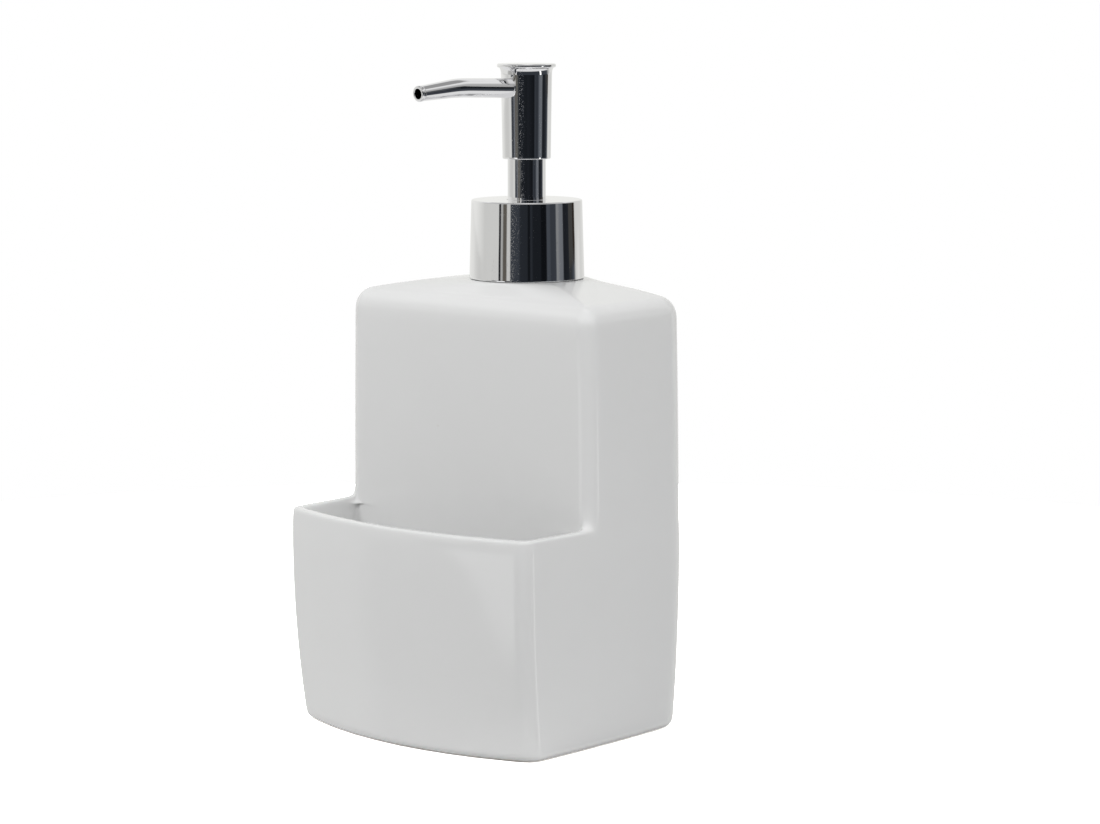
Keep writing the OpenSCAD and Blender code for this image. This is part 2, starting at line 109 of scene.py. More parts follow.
class Shader:
    def __init__(self, tree):
        self.tree = tree
        tree.nodes.clear()

    def add(self, kind, settings=None, out=0, **sockets):
        # settings go first, then the values or links of the sockets
        node = self.tree.nodes.new("ShaderNode" + kind)
        for key, value in (settings or {}).items():
            if key == "stops":
                ramp = node.color_ramp
                while len(ramp.elements) < len(value):
                    ramp.elements.new(0.5)
                for element, (place, colour) in zip(ramp.elements, value):
                    element.position, element.color = place, (*colour, 1)
            else:
                setattr(node, key, value)
        for key, value in sockets.items():
            # i6 is the socket number 6, any other key is a socket's name
            name = int(key[1:]) if key[1:].isdigit() else key.replace("_", " ")
            plug(self.tree, node.inputs[name], value)
        return Value(self.tree, node.outputs[out])

    def noise(self, where, scale, detail=2.0, rough=0.5):
        return self.add("TexNoise", Vector=where, Scale=scale, Detail=detail, Roughness=rough)

    def blend(self, share, first, second):
        return self.add("Mix", {"data_type": "RGBA"}, out=2, i0=share, i6=first, i7=second)

    def step(self, value, low, high, start=0.0, end=1.0):
        return self.add("MapRange", {"interpolation_type": "SMOOTHSTEP"}, Value=value, i1=low, i2=high,
                        i3=start, i4=end)


def rgb(r, g=None, b=None):
    return (r, r if g is None else g, r if b is None else b, 1)


def newMaterial(name, constants):
    mat = bpy.data.materials.new(name)
    mat.use_nodes = True
    make = Shader(mat.node_tree)
    bsdf = mat.node_tree.nodes.new("ShaderNodeBsdfPrincipled")
    end = mat.node_tree.nodes.new("ShaderNodeOutputMaterial")
    mat.node_tree.links.new(bsdf.outputs[0], end.inputs["Surface"])
    for key, value in constants.items():
        bsdf.inputs[key].default_value = value
    return mat, make, bsdf.inputs


def bump(make, height):  # height in mm
    return make.add("Bump", Strength=1.0, Distance=mm, Height=height)


def glazeMaterial():
    # scales of the patterns, tones, roughness and heights in mm; the foot line is in metres
    look = {"cloud": 16, "wave": 38, "peel": 620, "specks": 150, "speckPatches": 55, "clay": 1500,
            "footWave": 160, "darker": (0.748, 0.752, 0.750), "paler": (0.772, 0.774, 0.771),
            "speckTone": (0.38, 0.33, 0.27), "speckSize": 0.035, "speckFrom": 0.6, "speckShare": 0.35,
            "footLine": 0.0007, "footUneven": 0.0006, "footSoft": 0.0002,
            "firedDark": (0.56, 0.52, 0.46), "firedPale": (0.70, 0.66, 0.60),
            "rough": 0.06, "cloudRough": 0.04, "speckRough": 0.3, "footRough": 0.7,
            "waveHigh": 0.09, "peelHigh": 0.002, "speckDeep": 0.03, "clayHigh": 0.05}
    mat, make, to = newMaterial("glaze", {"IOR": 1.52, "Coat Weight": 0.2, "Coat Roughness": 0.03})
    where = make.add("TexCoord", out=3)
    z = make.add("SeparateXYZ", out=2, Vector=where)
    cloud = make.noise(where, look["cloud"], 3)
    wave = make.noise(where, look["wave"], 1.5)
    peel = make.noise(where, look["peel"], 1)
    speck = make.add("TexVoronoi", Vector=where, Scale=look["specks"])
    speckMask = (speck < look["speckSize"]) * (make.noise(where, look["speckPatches"]) > look["speckFrom"])
    # glaze stops in a slightly uneven line above the bare foot
    edge = z + make.noise(where, look["footWave"], 3) * look["footUneven"]
    bare = make.step(edge, look["footLine"], look["footLine"] + look["footSoft"], 1, 0)
    clay = make.noise(where, look["clay"], 4)
    glazed = make.blend(cloud, rgb(*look["darker"]), rgb(*look["paler"]))
    glazed = make.blend(speckMask * look["speckShare"], glazed, rgb(*look["speckTone"]))
    fired = make.blend(clay, rgb(*look["firedDark"]), rgb(*look["firedPale"]))
    rough = look["rough"] + cloud * look["cloudRough"] + speckMask * look["speckRough"]
    height = wave * look["waveHigh"] + peel * look["peelHigh"] - speckMask * look["speckDeep"]
    plug(make.tree, to["Base Color"], make.blend(bare, glazed, fired))
    plug(make.tree, to["Roughness"], rough + bare * look["footRough"])
    plug(make.tree, to["Normal"], bump(make, height + bare * clay * look["clayHigh"]))
    return mat


def chromeMaterial():
    # scales of the patterns, tones, roughness and heights in mm; turns about the pump are in radians
    look = {"pits": 2600, "streaks": 330, "hair": 2400, "smudge": 90, "wobble": 120, "drawn": (1, 1, 0.2),
            "darker": (0.85, 0.85, 0.86), "paler": (0.88, 0.88, 0.89), "wornTurns": (-1.16, -1.10, -1.0, -0.84),
            "streakShare": 0.25, "wornShare": 0.17, "pitFrom": (0.85, 0.93), "hairFrom": (0.68, 0.76),
            "rough": 0.03, "smudgeRough": 0.03, "pitRough": 0.24, "hairRough": 0.06,
            "wobbleHigh": 0.014, "pitHigh": 0.006, "smudgeHigh": 0.0005}
    mat, make, to = newMaterial("chrome", {"IOR": 2.4, "Metallic": 1.0})
    where = make.add("TexCoord", out=3)
    x, y = (make.add("SeparateXYZ", out=i, Vector=where) for i in range(2))
    turn = (y - pumpAxis[1] * mm).math("ARCTAN2", x)
    drawn = make.add("Mapping", Vector=where, Scale=look["drawn"])
    smudge = make.noise(where, look["smudge"], 4, 0.6)
    wobble = make.noise(where, look["wobble"], 1)
    # tiny pits in the plating gather on one upright side, by the spout, and in a few streaks
    upright = make.add("SeparateXYZ", out=2, Vector=make.add("TexCoord", out=1)).math("ABSOLUTE") < 0.5
    start, full, past, end = look["wornTurns"]
    worn = make.step(turn, start, full) * make.step(turn, end, past) * upright
    streaks = make.noise(drawn, look["streaks"], 3) * look["streakShare"]
    pits = make.noise(where, look["pits"], 2, 0.6) + streaks + worn * look["wornShare"]
    pitMask = make.step(pits, *look["pitFrom"])
    hair = make.step(make.noise(drawn, look["hair"], 2), *look["hairFrom"])
    rough = look["rough"] + smudge * look["smudgeRough"] + pitMask * look["pitRough"] + hair * look["hairRough"]
    height = wobble * look["wobbleHigh"] + pitMask * look["pitHigh"] + smudge * look["smudgeHigh"]
    plug(make.tree, to["Base Color"], make.blend(smudge, rgb(*look["darker"]), rgb(*look["paler"])))
    plug(make.tree, to["Roughness"], rough)
    plug(make.tree, to["Normal"], bump(make, height))
    return mat


# moulded plastics and rubber: colour, roughness and the scale of the fine grain
plastics = {"whitePlastic": {"colour": (0.84, 0.84, 0.81), "rough": 0.38, "grain": 1800},
            "clearPlastic": {"colour": (0.80, 0.83, 0.84), "rough": 0.3, "grain": 1200},
            "rubber": {"colour": (0.060, 0.060, 0.063), "rough": 0.6, "grain": 2600}}


def plasticMaterial(name, constants):
    look = {"cloud": 60, "darker": 0.93, "cloudRough": 0.08, "grainRough": 0.05, "grainHigh": 0.003,
            **plastics[name]}
    mat, make, to = newMaterial(name, constants)
    where = make.add("TexCoord", out=3)
    cloud = make.noise(where, look["cloud"], 3)
    grain = make.noise(where, look["grain"], 2)
    dark = rgb(*(look["darker"] * c for c in look["colour"]))
    plug(make.tree, to["Base Color"], make.blend(cloud, dark, rgb(*look["colour"])))
    plug(make.tree, to["Roughness"], look["rough"] + cloud * look["cloudRough"] + grain * look["grainRough"])
    plug(make.tree, to["Normal"], bump(make, grain * look["grainHigh"]))
    return mat


def steelMaterial():
    look = {"drawn": 3000, "darker": (0.50, 0.51, 0.53), "paler": (0.62, 0.63, 0.64), "rough": 0.16,
            "drawnRough": 0.12, "drawnHigh": 0.0006}
    mat, make, to = newMaterial("steel", {"Metallic": 1.0})
    where = make.add("TexCoord", out=3)
    drawn = make.noise(where, look["drawn"], 3)
    plug(make.tree, to["Base Color"], make.blend(drawn, rgb(*look["darker"]), rgb(*look["paler"])))
    plug(make.tree, to["Roughness"], look["rough"] + drawn * look["drawnRough"])
    plug(make.tree, to["Normal"], bump(make, drawn * look["drawnHigh"]))
    return mat


finishes = {
    "glaze": glazeMaterial(),
    "chrome": chromeMaterial(),
    "white_plastic": plasticMaterial("whitePlastic", {"IOR": 1.49}),
    "clear_plastic": plasticMaterial("clearPlastic", {"IOR": 1.49, "Transmission Weight": 0.1}),
    "rubber": plasticMaterial("rubber", {"IOR": 1.5}),
    "steel": steelMaterial(),
}
slotOf = {s["node"]: s["material_slot"] for s in frame["record"]["subparts"]}
for nodeName, node in frame["nodes"].items():
    node.data.materials.clear()
    node.data.materials.append(finishes[slotOf[nodeName]])
print("materials made:", len(finishes))


# mesh work is in mm until a piece is placed
def chainEdges(chain):
    return [next(e for e in a.link_edges if e.other_vert(a) is b) for a, b in zip(chain, chain[1:])]


def spinTo(bm, chain, centre, turns):
    # goes on from the chain's last vertex, one spin for each turn
    for turn in turns:
        got = bmesh.ops.spin(bm, geom=[chain[-1]], cent=(*centre, 0), axis=(0, 0, 1), dvec=(0, 0, 0),
                             angle=turn, steps=1, use_merge=False, use_normal_flip=False, use_duplicate=False)
        chain += [v for v in got["geom_last"] if isinstance(v, bmesh.types.BMVert)]
    return chain


def slideTo(bm, chain, point, steps):
    start = chain[-1].co.copy()
    for i in range(1, steps + 1):
        vert = bm.verts.new(start.lerp(Vector(point), i / steps))
        bm.edges.new((chain[-1], vert))
        chain.append(vert)
    return chain


def bridge(bm, rows):
    for low, high in zip(rows, rows[1:]):
        bmesh.ops.bridge_loops(bm, edges=chainEdges(low) + chainEdges(high))


def place(bm, name, body, slotName, nodes, smoothAngle=35, levels=0):
    bmesh.ops.scale(bm, vec=(mm, mm, mm), verts=bm.verts)
    mesh = bpy.data.meshes.new(name)
    bm.to_mesh(mesh)
    bm.free()
    piece = bpy.data.objects.new(name, mesh)
    bpy.context.scene.collection.objects.link(piece)
    mesh.materials.append(finishes[slotName])
    for face in mesh.polygons:
        face.use_smooth = True
    if smoothAngle:
        mesh.set_sharp_from_angle(angle=deg(smoothAngle))
    if levels:
        soft = piece.modifiers.new("soft", "SUBSURF")
        soft.levels = soft.render_levels = levels
    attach(piece, body)
    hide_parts(*nodes)
    print("made", name, len(mesh.polygons), "faces")
    return piece


# the ceramic body: half is half its width, and the bows are how far its front and back stand out
body = {"half": 48.6, "frontY": -43, "backY": 43, "bottleY": -9, "sideR": 600, "faceR": 20000,
        "frontBow": 8.3, "footBow": 1.7, "backBow": 7, "bowInset": 1,
        "wellCorner": 5.4, "bottleCorner": 5, "backCorner": 11, "leastCorner": 1.2,
        "bulgeZ": 54, "rimZ": 64, "shoulderZ": 121.2, "shoulderR": 6.3, "seatZ": 131, "seatR": 17.8,
        "lean": 0.4, "sideDraft": 1.4, "frontDraft": 2.5, "backDraft": 1.5, "bottleDraft": 0.75,
        "draftCurve": 1.6, "wall": 3.4, "bottleWall": 4.2, "footR": 2.2, "crownCurve": 1.5, "ceilingInset": 4.7,
        "lip": 1.7, "lipSquare": 0.62, "jointStep": 2.4, "jointFillet": 0.75, "wellFillet": 2.4}


def bowRadius(half, bow):
    return (half * half + bow * bow) / (2 * bow)


def bodyPlan(z, inset=0.0, bottle=False):
    # half width, y and radius of the front and back arcs, and corner radii, at a height
    b = body
    t = max(0.0, (b["bulgeZ"] - z) / b["bulgeZ"]) ** 2
    lean = b["lean"] * min(1.0, max(0.0, (z - b["bulgeZ"]) / (b["rimZ"] - b["bulgeZ"]))) ** 2
    half = b["half"] - b["sideDraft"] * t
    front = b["frontY"] + b["frontDraft"] * t
    frontR = bowRadius(half - b["bowInset"], b["frontBow"] + b["footBow"] * t)
    corner, backCorner = b["wellCorner"] + t, b["backCorner"]
    if bottle:
        # it narrows a little on its way up, but its face stays upright
        lean += b["bottleDraft"] * (max(0.0, z - b["rimZ"]) / (b["shoulderZ"] - b["rimZ"])) ** b["draftCurve"]
        front, frontR, corner = b["bottleY"] - lean, b["faceR"], b["bottleCorner"] + lean
    d, least = inset + lean, b["leastCorner"]
    return {"half": half - d, "front": front + d, "frontR": frontR - d, "sideR": b["sideR"] - d,
            "back": b["backY"] - b["backDraft"] * t - d,
            "backR": bowRadius(half - b["bowInset"], b["backBow"]) - d,
            "corner": max(least, corner - d), "backCorner": max(least, backCorner - d)}


def meet(c1, r1, c2, r2, side):
    gap = (c2 - c1).length
    along = (c2 - c1) / gap
    k = (r1 * r1 - r2 * r2 + gap * gap) / (2 * gap)
    return c1 + along * k + Vector((-along.y, along.x)) * side * math.sqrt(r1 * r1 - k * k)


def heading(v):
    return math.atan2(v.y, v.x)


def arcsOf(plan):
    # centres of the five arcs of the right half, and where each hands over to the next
    front, back = Vector((0, plan["front"] + plan["frontR"])), Vector((0, plan["back"] - plan["backR"]))
    side = Vector((plan["half"] - plan["sideR"], 0))
    c1 = meet(front, plan["frontR"] - plan["corner"], side, plan["sideR"] - plan["corner"], 1)
    c2 = meet(back, plan["backR"] - plan["backCorner"], side, plan["sideR"] - plan["backCorner"], -1)
    turns = [heading(c1 - front), heading(c1 - side), heading(c2 - side), heading(c2 - back)]
    return front, c1, side, c2, back, turns


steps = {"front": 8, "corner": 5, "wellSide": 5, "bottleSide": 5, "backCorner": 6, "back": 8, "face": 7}


def evenly(start, end, count):
    return [(end - start) / count] * count


def alongSide(start, end):
    # the last step before the bottle is short, so that the lip turns up into it in a small fillet
    last = body["jointStep"] / body["sideR"]
    return evenly(start, end - last, steps["wellSide"] - 1) + [last]


def backHalf(bm, chain, side, c2, back, turns, start):
    spinTo(bm, chain, side, evenly(start, turns[2], steps["bottleSide"]))
    spinTo(bm, chain, c2, evenly(turns[2], turns[3], steps["backCorner"]))
    spinTo(bm, chain, back, evenly(turns[3], deg(90), steps["back"]))
    chain[-1].co.x = 0
    return chain


def jointTurn(z):
    # where the bottle's front corner meets the side, as a turn of the side arc
    return arcsOf(bodyPlan(z, 0, True))[5][1]


def wallRow(bm, z, inset):
    plan = bodyPlan(z, inset)
    front, c1, side, c2, back, turns = arcsOf(plan)
    chain = [bm.verts.new((0, plan["front"], z))]
    spinTo(bm, chain, front, evenly(deg(-90), turns[0], steps["front"]))
    spinTo(bm, chain, c1, evenly(turns[0], turns[1], steps["corner"]))
    joint = jointTurn(z)
    spinTo(bm, chain, side, alongSide(turns[1], joint))
    return backHalf(bm, chain, side, c2, back, turns, joint)


lipTurns = [deg(a) for a in (0, 30, 60, 90, 120, 150, 180)]


def lipInset(turn):
    # squarer than a half circle, so that only a thin line of it catches the light
    across = math.cos(turn)
    return body["lip"] * (1 - math.copysign(abs(across) ** body["lipSquare"], across))


def lipRise(turn):
    return body["lip"] * math.sin(turn) ** body["lipSquare"] if 0 < turn < math.pi else 0.0


def cornerTurn(turn):
    # the place on the bottle's front corner where the lip's line at this turn ends
    return -math.acos(1 - lipInset(turn) / body["bottleCorner"])


cornerTurns = [deg(-90), deg(-80)] + [cornerTurn(t) for t in reversed(lipTurns)]


def wellFront(bm, z, inset, endY):
    plan = bodyPlan(z, inset)
    front, c1, side, c2, back, turns = arcsOf(plan)
    chain = [bm.verts.new((0, plan["front"], z))]
    spinTo(bm, chain, front, evenly(deg(-90), turns[0], steps["front"]))
    spinTo(bm, chain, c1, evenly(turns[0], turns[1], steps["corner"]))
    return spinTo(bm, chain, side, alongSide(turns[1], math.asin(endY / plan["sideR"])))


def bottleRow(bm, z, inset=0.0):
    plan = bodyPlan(z, inset, True)
    front, c1, side, c2, back, turns = arcsOf(plan)
    chain = [bm.verts.new((0, plan["front"], z))]
    slideTo(bm, chain, (c1.x, plan["front"], z), steps["face"])
    marks = cornerTurns[:-1] + [turns[1]]
    spinTo(bm, chain, c1, [b - a for a, b in zip(marks, marks[1:])])
    return backHalf(bm, chain, side, c2, back, turns, turns[1])


def circleRow(bm, like, radius, z):
    # as many vertices as another row has, on a circle about the pump
    axis = Vector(pumpAxis)
    chain = []
    for old in like:
        out = (old.co.xy - axis).normalized()
        vert = bm.verts.new((*(axis + out * radius), z))
        if chain:
            bm.edges.new((chain[-1], vert))
        chain.append(vert)
    chain[0].co.x = chain[-1].co.x = 0
    return chain


def crownRows(bm, base, low, high, radius, count):
    axis = Vector(pumpAxis)
    rows = []
    for i in range(1, count + 1):
        s = i / count
        row = circleRow(bm, base, radius, low + (high - low) * (1 - (1 - s) ** body["crownCurve"]))
        for vert, old in zip(row, base):
            vert.co.xy = old.co.xy.lerp(vert.co.xy, s)
        rows.append(row)
    return rows


def roundWellCorner(row):
    # a fillet down the well's corner, between its side and the bottle's face
    end = steps["front"] + steps["corner"] + steps["wellSide"]
    edge, face, r = row[end].co.x, row[end + 2].co.y, body["wellFillet"]
    for vert, turn in zip(row[end:end + 3], bodyRows["filletTurns"]):
        vert.co.xy = edge - r * (1 - math.cos(deg(turn))), face - r * (1 - math.sin(deg(turn)))


# where the rows of the ceramic's mesh lie: heights, turns of a rounding in degrees, or (height, inset);
# neck has (radius, depth under the seat), and ceiling its height, radius and number of rows
bodyRows = {"footTurns": (0, 30, 60),
            "wall": (body["footR"], 5, 10, 18, 28, 40, body["bulgeZ"], 60),
            "under": ((0, 3.2), (0, 8.2), (0.25, 8.7), (1.25, 8.8), (1.5, 9.3), (1.5, 12)),
            "bottle": (67, 72, 82, 94, 106, 113, 118.5, body["shoulderZ"]),
            "shoulderTurns": (15, 30, 46, 62, 76), "crown": 6, "filletTurns": (33, 62, 88),
            "neck": ((14.8, 0), (11.8, 0), (11.3, 0.2), (11.2, 0.7), (11.2, 3.8), (11.5, 4.6)),
            "ceiling": (126, 12.4, 4), "shoulderInside": ((121.4, 1.9), (117.2, 0)),
            "reservoir": ((100, 0), (80, 0), (body["bulgeZ"], 0), (36, 0), (20, 0), (9, 0), (7.5, 0.4),
                          (6.4, 1.5), (6, 3.2), (6, 7)),
            "well": ((59.5, 0), (body["bulgeZ"], 0), (44, 0), (32, 0), (21, 0), (10, 0), (8, 0.54), (6.54, 2),
                     (6, 4), (6, 8))}


def makeCeramic():
    b, at = body, bodyRows
    bm = bmesh.new()
    # outside of the lower body, from the foot's rounding to under the lip
    low, foot = b["rimZ"] - b["lip"], b["footR"]
    rounding = [(foot * (1 - math.cos(deg(a))), foot * (1 - math.sin(deg(a)))) for a in at["footTurns"]]
    walls = [wallRow(bm, z, d) for z, d in rounding + [(z, 0) for z in (*at["wall"], low)]]
    bridge(bm, walls)
    # underneath: the bare foot ring and the recess
    under = [wallRow(bm, z, d) for z, d in at["under"]]
    bridge(bm, [walls[0]] + under)
    # the bottle's lowest line rises over the lip at its front corner
    base = bottleRow(bm, low)
    count = steps["face"] + 2
    joints = base[count:count + len(lipTurns)][::-1]
    # lip: each line over it ends on that corner
    lips = [walls[-1][:steps["front"] + steps["corner"] + steps["wellSide"] + 1]]
    for turn, joint in zip(lipTurns[1:], joints[1:]):
        row = wellFront(bm, low, lipInset(turn), joint.co.y)
        row[-1].co = joint.co
        for vert in row + [joint]:
            vert.co.z = low + lipRise(turn)
        # a small fillet where the lip meets the bottle, less of it on the inner side
        lift = b["jointFillet"] * math.sin(turn) ** (1 if turn <= deg(90) else 4)
        for vert in (row[-1], joint):
            vert.co += Vector((0, -lift, lift))
        lips.append(row)
    bridge(bm, lips)
    sides = [base] + [bottleRow(bm, z) for z in at["bottle"]]
    turns = [deg(a) for a in at["shoulderTurns"]]
    for a in turns:
        row = bottleRow(bm, b["shoulderZ"], b["shoulderR"] * (1 - math.cos(a)))
        for vert in row:
            vert.co.z += b["shoulderR"] * math.sin(a)
        sides.append(row)
    crownZ = b["shoulderZ"] + b["shoulderR"] * math.sin(turns[-1])
    sides += crownRows(bm, sides[-1], crownZ, b["seatZ"], b["seatR"], at["crown"])
    sides += [circleRow(bm, sides[-1], r, b["seatZ"] - depth) for r, depth in at["neck"]]
    # reservoir, down from the neck
    wall = b["bottleWall"]
    inTop = crownZ - wall
    start = bottleRow(bm, b["shoulderZ"], wall + b["ceilingInset"])
    for vert in start:
        vert.co.z = inTop
    inside = crownRows(bm, start, inTop, *at["ceiling"])[::-1] + [start]
    for z, d in at["shoulderInside"]:
        row = bottleRow(bm, b["shoulderZ"], wall + d)
        for vert in row:
            vert.co.z = z
        inside.append(row)
    inside += [bottleRow(bm, z, wall + d) for z, d in at["reservoir"]]
    bridge(bm, sides + inside)
    # inside of the well: its front wall and the bottle's face, down to the floor
    inner = []
    for z, extra in ((low, 0), *at["well"]):
        row = wellFront(bm, z, b["wall"] + extra, joints[-1].co.y - extra)
        across = row[-1].co.x / joints[-1].co.x
        for old in reversed(base[:count]):
            x = old.co.x * across
            vert = bm.verts.new((x, old.co.y - extra, z))
            bm.edges.new((row[-1], vert))
            row.append(vert)
        if z < low:
            roundWellCorner(row)
        inner.append(row)
    bridge(bm, inner)
    bmesh.ops.delete(bm, geom=[v for v in bm.verts if not v.link_faces], context="VERTS")
    bmesh.ops.remove_doubles(bm, verts=bm.verts, dist=0.05)
    bmesh.ops.mirror(bm, geom=bm.verts[:] + bm.edges[:] + bm.faces[:], matrix=Matrix.Identity(4),
                     merge_dist=0.01, axis="X")
    rims = [e for e in bm.edges if e.is_boundary]
    bmesh.ops.holes_fill(bm, edges=rims, sides=0)
    bmesh.ops.recalc_face_normals(bm, faces=bm.faces)
    leftOpen = sum(not e.is_manifold for e in bm.edges)
    print("ceramic:", len(rims), "edges round the floors,", leftOpen, "left open")
    return place(bm, "ceramicBody", "bottle", "glaze", ["ceramic_body"], smoothAngle=0, levels=2)


makeCeramic()


def withSupports(profile, gap=0.3):
    # a row close to each rounded corner keeps the long faces beside it straight in the light
    chain = []
    for i, (r, z, rounding) in enumerate(profile):
        here, stay = Vector((r, 0, z)), rounding + gap
        ways = [Vector((p[0], 0, p[1])) - here for p in (profile[i - 1], profile[(i + 1) % len(profile)])]
        supports = [[here + way.normalized() * stay] if rounding and way.length > 2 * stay else []
                    for way in ways]
        chain += supports[0] + [here] + supports[1]
    return chain


def turned(bm, profile, count, closed=True):
    # spins a profile of (radius, z, rounding) about the z axis, then rounds its corners
    chain = [bm.verts.new(point) for point in withSupports(profile)]
    edges = [bm.edges.new(pair) for pair in zip(chain, chain[1:] + chain[:1] if closed else chain[1:])]
    bmesh.ops.spin(bm, geom=chain + edges, cent=(0, 0, 0), axis=(0, 0, 1), dvec=(0, 0, 0), angle=deg(360),
                   steps=count, use_merge=True, use_normal_flip=False, use_duplicate=False)
    bmesh.ops.remove_doubles(bm, verts=bm.verts, dist=0.001)
    for r, z, rounding in profile:
        if rounding:
            ring = [e for e in bm.edges if all(math.hypot(math.hypot(v.co.x, v.co.y) - r, v.co.z - z) < 0.01
                                               for v in e.verts)]
            bmesh.ops.bevel(bm, geom=ring, offset=rounding, offset_type="OFFSET", segments=5, profile=0.5,
                            affect="EDGES", material=-1)
    bmesh.ops.recalc_face_normals(bm, faces=bm.faces)


def toPump(bm):
    bmesh.ops.translate(bm, vec=(*pumpAxis, 0), verts=bm.verts)


def makeCollar():
    spec = {"foot": (17.0, 131.12), "top": (16.35, 154.2), "wall": 0.8, "hole": 6.0, "footRound": 0.1,
            "topRound": 0.45, "holeRound": 0.3, "count": 144}
    (r1, z1), (r2, z2), w = spec["foot"], spec["top"], spec["wall"]
    bm = bmesh.new()
    turned(bm, [(r1, z1, spec["footRound"]), (r2, z2, spec["topRound"]),
                (spec["hole"], z2, spec["holeRound"]), (spec["hole"], z2 - w, 0),
                (r2 - w, z2 - w, 0), (r1 - w, z1, 0)], spec["count"])
    toPump(bm)
    return place(bm, "chromeCollar", "closure", "chrome", ["collar_shell"])


def makeSleeve():
    spec = {"radius": 5.6, "bore": 4.7, "bottom": 148.4, "top": 175.7, "lip": 6.0, "lipTop": 149.4,
            "lipRound": 0.15, "count": 96}
    r, bore, z1, z2 = spec["radius"], spec["bore"], spec["bottom"], spec["top"]
    bm = bmesh.new()
    turned(bm, [(bore, z1, 0), (spec["lip"], z1, 0), (spec["lip"], spec["lipTop"], spec["lipRound"]),
                (r, spec["lipTop"], 0), (r, z2, 0), (bore, z2, 0)], spec["count"])
    toPump(bm)
    return place(bm, "chromeSleeve", "head", "chrome", ["stem_sleeve"])


def makeBarrel():
    spec = {"bottom": (7.1, 166.2), "top": (7.5, 190.9), "wall": 0.8, "round": 0.3, "inRound": 0.2,
            "count": 112}
    (r1, z1), (r2, z2), w = spec["bottom"], spec["top"], spec["wall"]
    bm = bmesh.new()
    turned(bm, [(r1, z1, spec["round"]), (r2, z2, 0), (r2 - w, z2, 0), (r1 - w, z1, spec["inRound"])],
           spec["count"])
    toPump(bm)
    return place(bm, "chromeBarrel", "head", "chrome", ["head_shell"])


def makeCap():
    spec = {"disc": 8.65, "top": 194.0, "thick": 1.1, "round": 0.42, "flareR": 8.2, "flare": 2.0,
            "neck": 7.5, "plug": 6.7, "plugZ": 190.4, "count": 112}
    under = spec["top"] - spec["thick"]
    run = spec["flareR"] - spec["neck"]
    sweep = [(spec["flareR"] - run * math.sin(deg(a)), under - spec["flare"] * (1 - math.cos(deg(a))), 0)
             for a in range(0, 91, 15)]
    bm = bmesh.new()
    turned(bm, [(0, spec["top"], 0), (spec["disc"], spec["top"], spec["round"]),
                (spec["disc"], under, spec["round"])] + sweep
           + [(spec["plug"], sweep[-1][1], 0), (spec["plug"], spec["plugZ"], 0), (0, spec["plugZ"], 0)],
           spec["count"], False)
    toPump(bm)
    return place(bm, "chromeCap", "head", "chrome", ["head_cap"])


# the spout, by distances from the pump's axis: it rises to the bend and falls to the mouth
spout = {"rootZ": 186.8, "rise": 1.7, "fall": 5.3, "turn": 5, "root": 3.2, "bend": 27.5, "mouth": 42.4,
         "rootR": 2.9, "bendR": 2.75, "mouthR": 2.15, "boreR": 1.5, "softBend": 3.5, "tip": 1.4, "sides": 48,
         "nearRows": (7, 12, 18), "farRows": (34, 38)}


def spoutLine(reach):
    # height, slope and radius at a distance from the pump's axis, with a soft bend
    s = spout
    rise, fall = math.tan(deg(s["rise"])), math.tan(deg(s["fall"]))
    x = (reach - s["bend"]) / s["softBend"]
    z = s["rootZ"] + s["bend"] * rise
    if x < -1:
        z, slope = z + (reach - s["bend"]) * rise, rise
    elif x > 1:
        z, slope = z - (reach - s["bend"]) * fall, -fall
    else:
        # quadratic ease between the two slopes
        slope = rise + (-fall - rise) * (x + 1) / 2
        z += s["softBend"] * (rise * x - (rise + fall) * (x + 1) ** 2 / 4)
    near = s["rootR"] + (s["bendR"] - s["rootR"]) * (reach - s["root"]) / (s["bend"] - s["root"])
    far = s["bendR"] + (s["mouthR"] - s["bendR"]) * (reach - s["bend"]) / (s["mouth"] - s["bend"])
    return z, slope, min(near, far)


def station(reach, radius=None):
    z, slope, r = spoutLine(reach)
    return (Matrix.Translation((0, -reach, z)) @ Matrix.Rotation(math.atan(slope), 4, "X").inverted()
            @ Matrix.Rotation(deg(90), 4, "X") @ Matrix.Scale(radius or r, 4))


def toHead(bm):
    turn = Matrix.Rotation(deg(-spout["turn"]), 3, "Z")
    bmesh.ops.rotate(bm, cent=(0, 0, 0), matrix=turn, verts=bm.verts)
    toPump(bm)


def makeSpout():
    s = spout
    bm = bmesh.new()
    end = s["mouth"] - s["tip"]
    bend = [s["bend"] + s["softBend"] * k / 4 for k in range(-4, 5)]
    reaches = [s["root"], *s["nearRows"], *bend, *s["farRows"], end]
    outside = [(x, None) for x in reaches]
    bore = [(x, s["boreR"]) for x in reversed(reaches)]
    ring = bmesh.ops.create_circle(bm, cap_ends=False, radius=1, segments=s["sides"])["verts"]
    first = last = station(*outside[0])
    bmesh.ops.transform(bm, matrix=first, verts=ring)
    firstEdges = edges = list({e for v in ring for e in v.link_edges})
    for stop in outside[1:] + bore:
        grown = bmesh.ops.extrude_edge_only(bm, edges=edges)["geom"]
        verts = [g for g in grown if isinstance(g, bmesh.types.BMVert)]
        edges = [g for g in grown
                 if isinstance(g, bmesh.types.BMEdge) and all(v in verts for v in g.verts)]
        now = station(*stop)
        bmesh.ops.transform(bm, matrix=now @ last.inverted(), verts=verts)
        last = now
    bmesh.ops.bridge_loops(bm, edges=firstEdges + edges)
    bmesh.ops.recalc_face_normals(bm, faces=bm.faces)
    toHead(bm)
    return place(bm, "chromeSpout", "head", "chrome", ["nozzle_tube"], 40)


